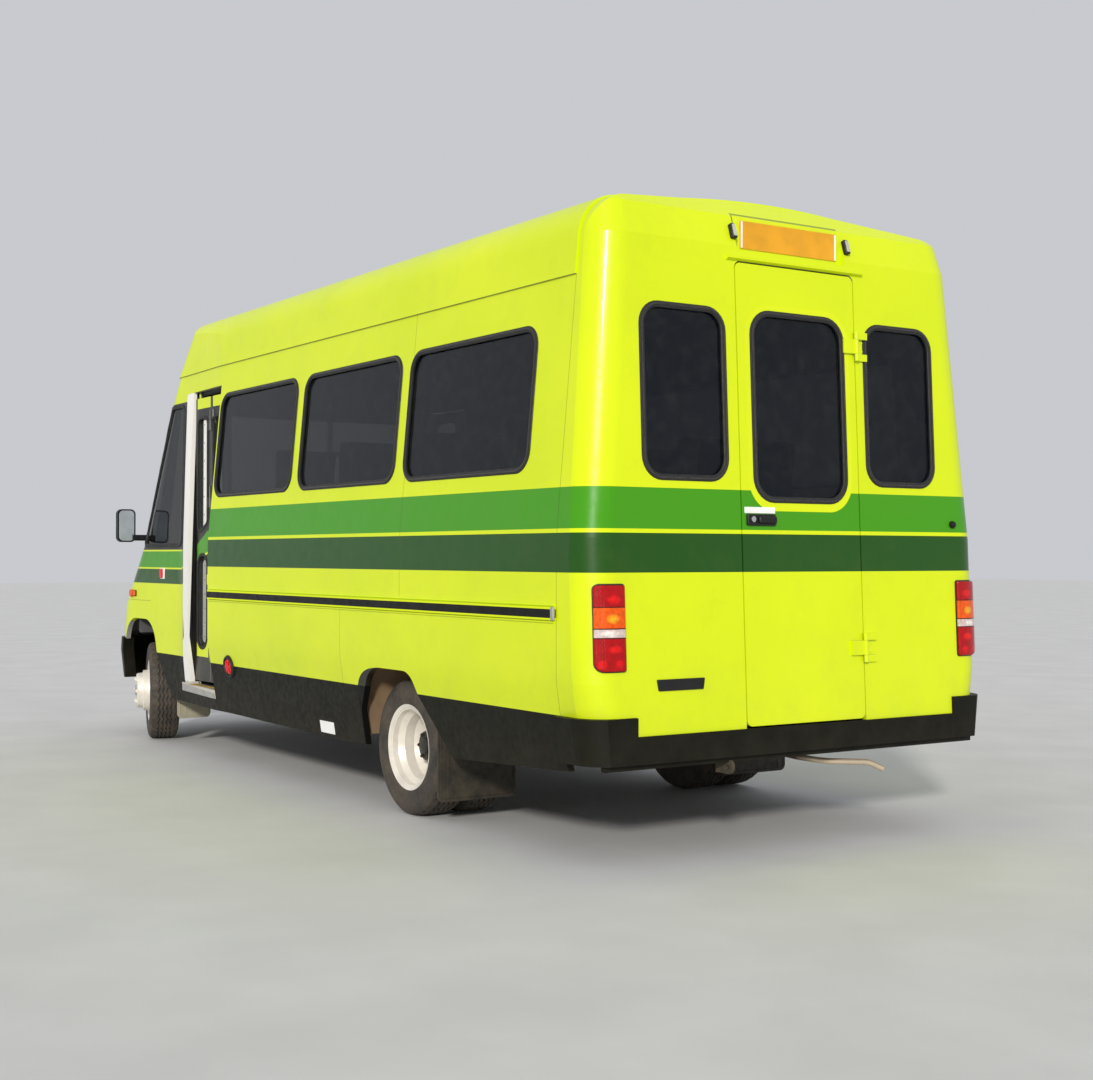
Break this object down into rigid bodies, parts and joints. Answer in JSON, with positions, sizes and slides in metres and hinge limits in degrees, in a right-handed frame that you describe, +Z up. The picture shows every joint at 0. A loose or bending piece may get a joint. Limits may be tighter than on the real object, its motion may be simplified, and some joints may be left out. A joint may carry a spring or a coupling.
{
  "type": "minibus",
  "caption": "Coach-built minibus with a low van nose, folding entrance door, rear emergency door, twin rear wheels and steered front wheels.",
  "frame": {"origin": "on the ground, under the middle of the overall length and width over the mirrors", "axes": "+X forwards, +Y to the vehicle's left, +Z up"},
  "size_m": [6.0012, 2.248, 2.6433],
  "materials": {
    "lime_paint": "gloss",
    "pale_metal": "satin",
    "black_plastic": "textured",
    "black_steel": "satin",
    "grey_floor": "ribbed",
    "tinted_glass": "gloss",
    "clear_glass": "gloss",
    "lamp_lens": "gloss",
    "amber_lens": "gloss",
    "yellow_plate": "gloss",
    "tyre": "matt",
    "steel_wheel": "satin",
    "axle_steel": "dull",
    "cast_metal": "dull",
    "seat_cloth": "woven",
    "chrome_trim": "bright"
  },
  "bodies": {
    "body": {"side_panels": "lime_paint", "skirts": "black_plastic", "roof": "lime_paint", "rear_cap": "lime_paint", "rear_plate": "yellow_plate", "body_glass": "tinted_glass", "cab_shell": "lime_paint", "windscreen": "clear_glass", "grille": "black_plastic", "headlamps": "clear_glass", "front_indicators": "amber_lens", "front_bumper": "black_plastic", "rear_bumper": "black_plastic", "tail_lamps": "lamp_lens", "rub_rails": "black_plastic", "floor_pan": "grey_floor", "step_well": "grey_floor", "entrance_frame": "pale_metal", "front_axle_beam": "black_steel", "rear_axle": "cast_metal", "dashboard": "black_plastic", "engine_cover": "black_plastic", "driver_seat": "seat_cloth", "saloon_seats": "seat_cloth", "chassis_frame": "black_steel", "mudflaps": "black_plastic", "leaf_springs": "axle_steel", "engine_block": "cast_metal", "fuel_tank": "black_steel", "exhaust": "axle_steel", "mirror_left": "black_plastic"},
    "wheel_front_left": {"front_tyre_left": "tyre", "front_rim_left": "steel_wheel"},
    "wheel_front_right": {"front_tyre_right": "tyre", "front_rim_right": "steel_wheel"},
    "wheels_rear_left": {"rear_tyres_left": "tyre", "rear_rims_left": "steel_wheel"},
    "wheels_rear_right": {"rear_tyres_right": "tyre", "rear_rims_right": "steel_wheel"},
    "steer_left": {"knuckle_left": "cast_metal"},
    "steer_right": {"knuckle_right": "cast_metal"},
    "tie_rod": {"track_rod": "axle_steel"},
    "hand_wheel": {"steering_wheel": "black_plastic"},
    "door_driver": {"driver_door": "lime_paint", "driver_door_glass": "clear_glass", "mirror_right": "black_plastic"},
    "door_back": {"rear_door": "lime_paint", "rear_door_glass": "tinted_glass", "rear_door_handle": "black_plastic"},
    "leaf_front": {"door_leaf_front": "lime_paint", "door_leaf_front_glass": "clear_glass"},
    "leaf_rear": {"door_leaf_rear": "lime_paint", "door_leaf_rear_glass": "clear_glass"},
    "bonnet_lid": {"bonnet": "lime_paint"}
  },
  "joints": [
    {"name": "roll_front_left", "type": "hinge", "parent": "steer_left", "child": "wheel_front_left", "pos_m": [2.17, 0.69, 0.31], "axis": [0.2756, 0.9613, 0], "continuous": true},
    {"name": "roll_front_right", "type": "hinge", "parent": "steer_right", "child": "wheel_front_right", "pos_m": [2.17, -0.69, 0.31], "axis": [0.2756, 0.9613, 0], "continuous": true},
    {"name": "roll_rear_left", "type": "hinge", "parent": "body", "child": "wheels_rear_left", "pos_m": [-1.4, 0.7725, 0.31], "axis": [0, 1, 0], "continuous": true},
    {"name": "roll_rear_right", "type": "hinge", "parent": "body", "child": "wheels_rear_right", "pos_m": [-1.4, -0.7725, 0.31], "axis": [0, 1, 0], "continuous": true},
    {"name": "steer_left_kingpin", "type": "hinge", "parent": "body", "child": "steer_left", "pos_m": [2.17, 0.69, 0.31], "axis": [0, 0, 1], "range_deg": [-16, 48]},
    {"name": "steer_right_kingpin", "type": "hinge", "parent": "body", "child": "steer_right", "pos_m": [2.17, -0.69, 0.31], "axis": [0, 0, 1], "range_deg": [-16, 48]},
    {"name": "track_rod_end", "type": "hinge", "parent": "steer_left", "child": "tie_rod", "pos_m": [2.03542, 0.72859, 0.215], "axis": [0, 0, 1], "range_deg": [-48, 16]},
    {"name": "steering_wheel_turn", "type": "hinge", "parent": "body", "child": "hand_wheel", "pos_m": [1.87, -0.43, 1.23], "axis": [-0.6198, 0, 0.7848], "range_deg": [-192, 576]},
    {"name": "driver_door_hinge", "type": "hinge", "parent": "body", "child": "door_driver", "pos_m": [2.265, -0.98, 1.05], "axis": [0, 0, 1], "range_deg": [0, 65]},
    {"name": "rear_door_hinge", "type": "hinge", "parent": "body", "child": "door_back", "pos_m": [-2.96142, -0.336, 1.43], "axis": [0.0432, 0, 0.9991], "range_deg": [0, 105]},
    {"name": "leaf_front_pivot", "type": "hinge", "parent": "body", "child": "leaf_front", "pos_m": [1.246, 0.935, 1.27], "axis": [0, 0, 1], "range_deg": [0, 84]},
    {"name": "leaf_fold", "type": "hinge", "parent": "leaf_front", "child": "leaf_rear", "pos_m": [1.045, 0.958, 1.27], "axis": [0, 0, 1], "range_deg": [-168, 0]},
    {"name": "bonnet_hinge", "type": "hinge", "parent": "body", "child": "bonnet_lid", "pos_m": [2.335, 0, 1.212], "axis": [0, -1, 0], "range_deg": [0, 50]}
  ],
  "couplings": [
    {"joint": "steer_right_kingpin", "follows": "steer_left_kingpin", "ratio": 1},
    {"joint": "track_rod_end", "follows": "steer_left_kingpin", "ratio": -1},
    {"joint": "steering_wheel_turn", "follows": "steer_left_kingpin", "ratio": 12},
    {"joint": "leaf_fold", "follows": "leaf_front_pivot", "ratio": -2}
  ]
}
